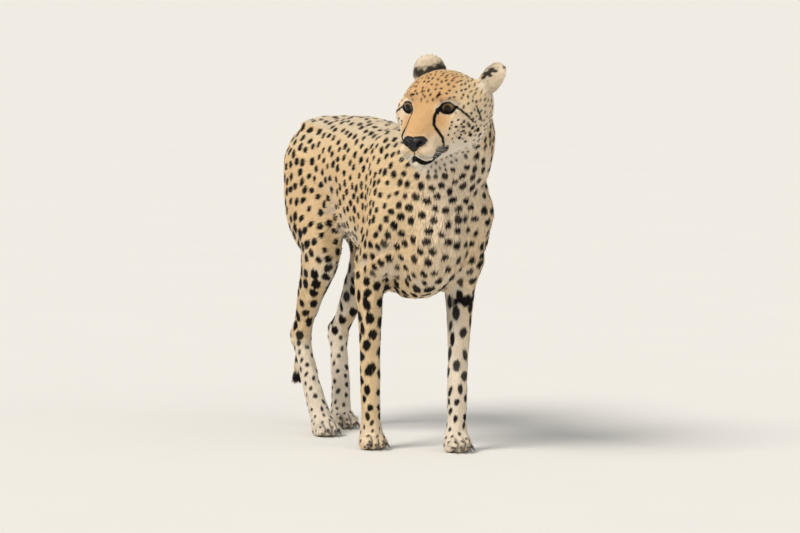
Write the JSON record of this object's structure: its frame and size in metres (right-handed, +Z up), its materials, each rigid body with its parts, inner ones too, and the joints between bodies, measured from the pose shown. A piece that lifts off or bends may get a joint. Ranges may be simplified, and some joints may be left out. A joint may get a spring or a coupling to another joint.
{
  "type": "cheetah",
  "caption": "Whole standing cheetah with spotted coat, head turned to its right, long hanging tail and short blunt claws.",
  "frame": {"origin": "on the floor, under the middle of the animal's bounding box", "axes": "+Z up, -Y the way the body faces, +X towards the animal's left side"},
  "size_m": [0.3146, 0.9234, 0.8624],
  "materials": {
    "gold_fur": "short golden-buff fur with black spots",
    "pale_fur": "whitish fur with sparse dark spots",
    "face_fur": "very short orange-gold fur with black tear lines",
    "ear_fur": "short fur, black patch behind, pale rim",
    "nose_leather": "moist black leather",
    "eye": "wet amber-brown eye",
    "claw": "dull dark horn"
  },
  "bodies": {
    "root": {"eye_right": "eye", "eye_left": "eye", "head": "face_fur", "muzzle": "face_fur", "lower_jaw": "pale_fur", "nose_pad": "nose_leather", "ear_right": "ear_fur", "ear_left": "ear_fur", "chest": "gold_fur", "loin": "gold_fur", "rump": "gold_fur", "neck": "gold_fur", "tail_base": "gold_fur", "tail_middle": "gold_fur", "tail_tip": "pale_fur", "upper_arm_right": "gold_fur", "forearm_right": "pale_fur", "claw_fore_paw_right_1": "claw", "claw_fore_paw_right_2": "claw", "claw_fore_paw_right_3": "claw", "claw_fore_paw_right_4": "claw", "fore_paw_right": "pale_fur", "thigh_right": "gold_fur", "shank_right": "gold_fur", "claw_hind_paw_right_1": "claw", "claw_hind_paw_right_2": "claw", "claw_hind_paw_right_3": "claw", "claw_hind_paw_right_4": "claw", "hind_paw_right": "pale_fur", "upper_arm_left": "gold_fur", "forearm_left": "pale_fur", "claw_fore_paw_left_1": "claw", "claw_fore_paw_left_2": "claw", "claw_fore_paw_left_3": "claw", "claw_fore_paw_left_4": "claw", "fore_paw_left": "pale_fur", "thigh_left": "gold_fur", "shank_left": "gold_fur", "claw_hind_paw_left_1": "claw", "claw_hind_paw_left_2": "claw", "claw_hind_paw_left_3": "claw", "claw_hind_paw_left_4": "claw", "hind_paw_left": "pale_fur"}
  },
  "joints": []
}
